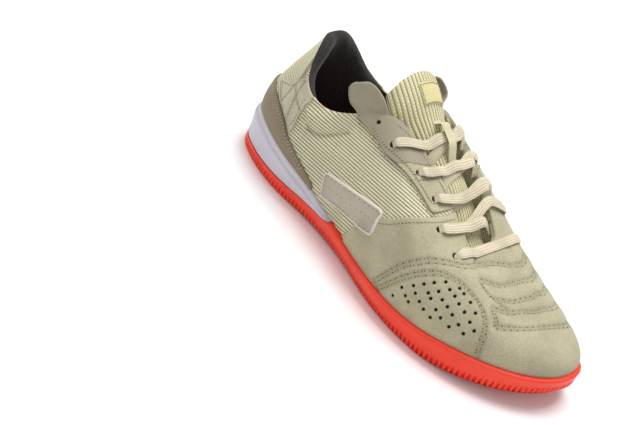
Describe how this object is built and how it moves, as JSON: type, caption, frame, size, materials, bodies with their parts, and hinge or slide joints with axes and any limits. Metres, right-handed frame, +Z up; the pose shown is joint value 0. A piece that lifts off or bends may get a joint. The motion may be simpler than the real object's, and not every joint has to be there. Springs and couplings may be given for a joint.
{
  "type": "indoor soccer shoe",
  "caption": "Right indoor soccer shoe: flat gum cup sole with a white heel wedge, hollow knitted upper with suede overlays, padded tongue and flat laces.",
  "frame": {"origin": "centre of the bounding box in plan, on the floor under the sole", "axes": "+X towards the toe, -Y towards the outer side of the foot, +Z up"},
  "size_m": [0.288, 0.1022, 0.1142],
  "materials": {
    "orange_rubber": "orange-red gum rubber, satin",
    "white_foam": "white moulded foam, satin",
    "insole_felt": "red textile top cloth",
    "cream_knit": "cream ribbed knit",
    "vamp_suede": "olive-beige suede",
    "counter_suede": "brown-olive suede",
    "eyestay_leather": "taupe nubuck",
    "ankle_leather": "smooth olive-cream leather",
    "side_film": "thin translucent film, satin",
    "woven_label": "plain woven label",
    "flat_lace": "flat woven lace",
    "keeper_knit": "woven tape"
  },
  "bodies": {
    "root": {"outsole": "orange_rubber", "midsole": "white_foam", "insole": "insole_felt", "upper": "cream_knit", "vamp_suede": "vamp_suede", "heel_counter": "counter_suede", "eyestay_lateral": "eyestay_leather", "eyestay_medial": "eyestay_leather", "eyestay_tab_lateral": "eyestay_leather", "eyestay_tab_medial": "eyestay_leather", "ankle_panel_lateral": "ankle_leather", "ankle_panel_medial": "ankle_leather", "collar_patch_lateral": "ankle_leather", "collar_patch_medial": "ankle_leather", "side_film": "side_film", "tongue": "cream_knit", "tongue_label": "woven_label", "lace_inward_1": "flat_lace", "lace_outward_1": "flat_lace", "lace_inward_2": "flat_lace", "lace_outward_2": "flat_lace", "lace_inward_3": "flat_lace", "lace_outward_3": "flat_lace", "lace_inward_4": "flat_lace", "lace_outward_4": "flat_lace", "lace_bar": "flat_lace", "lace_keeper": "keeper_knit"}
  },
  "joints": []
}
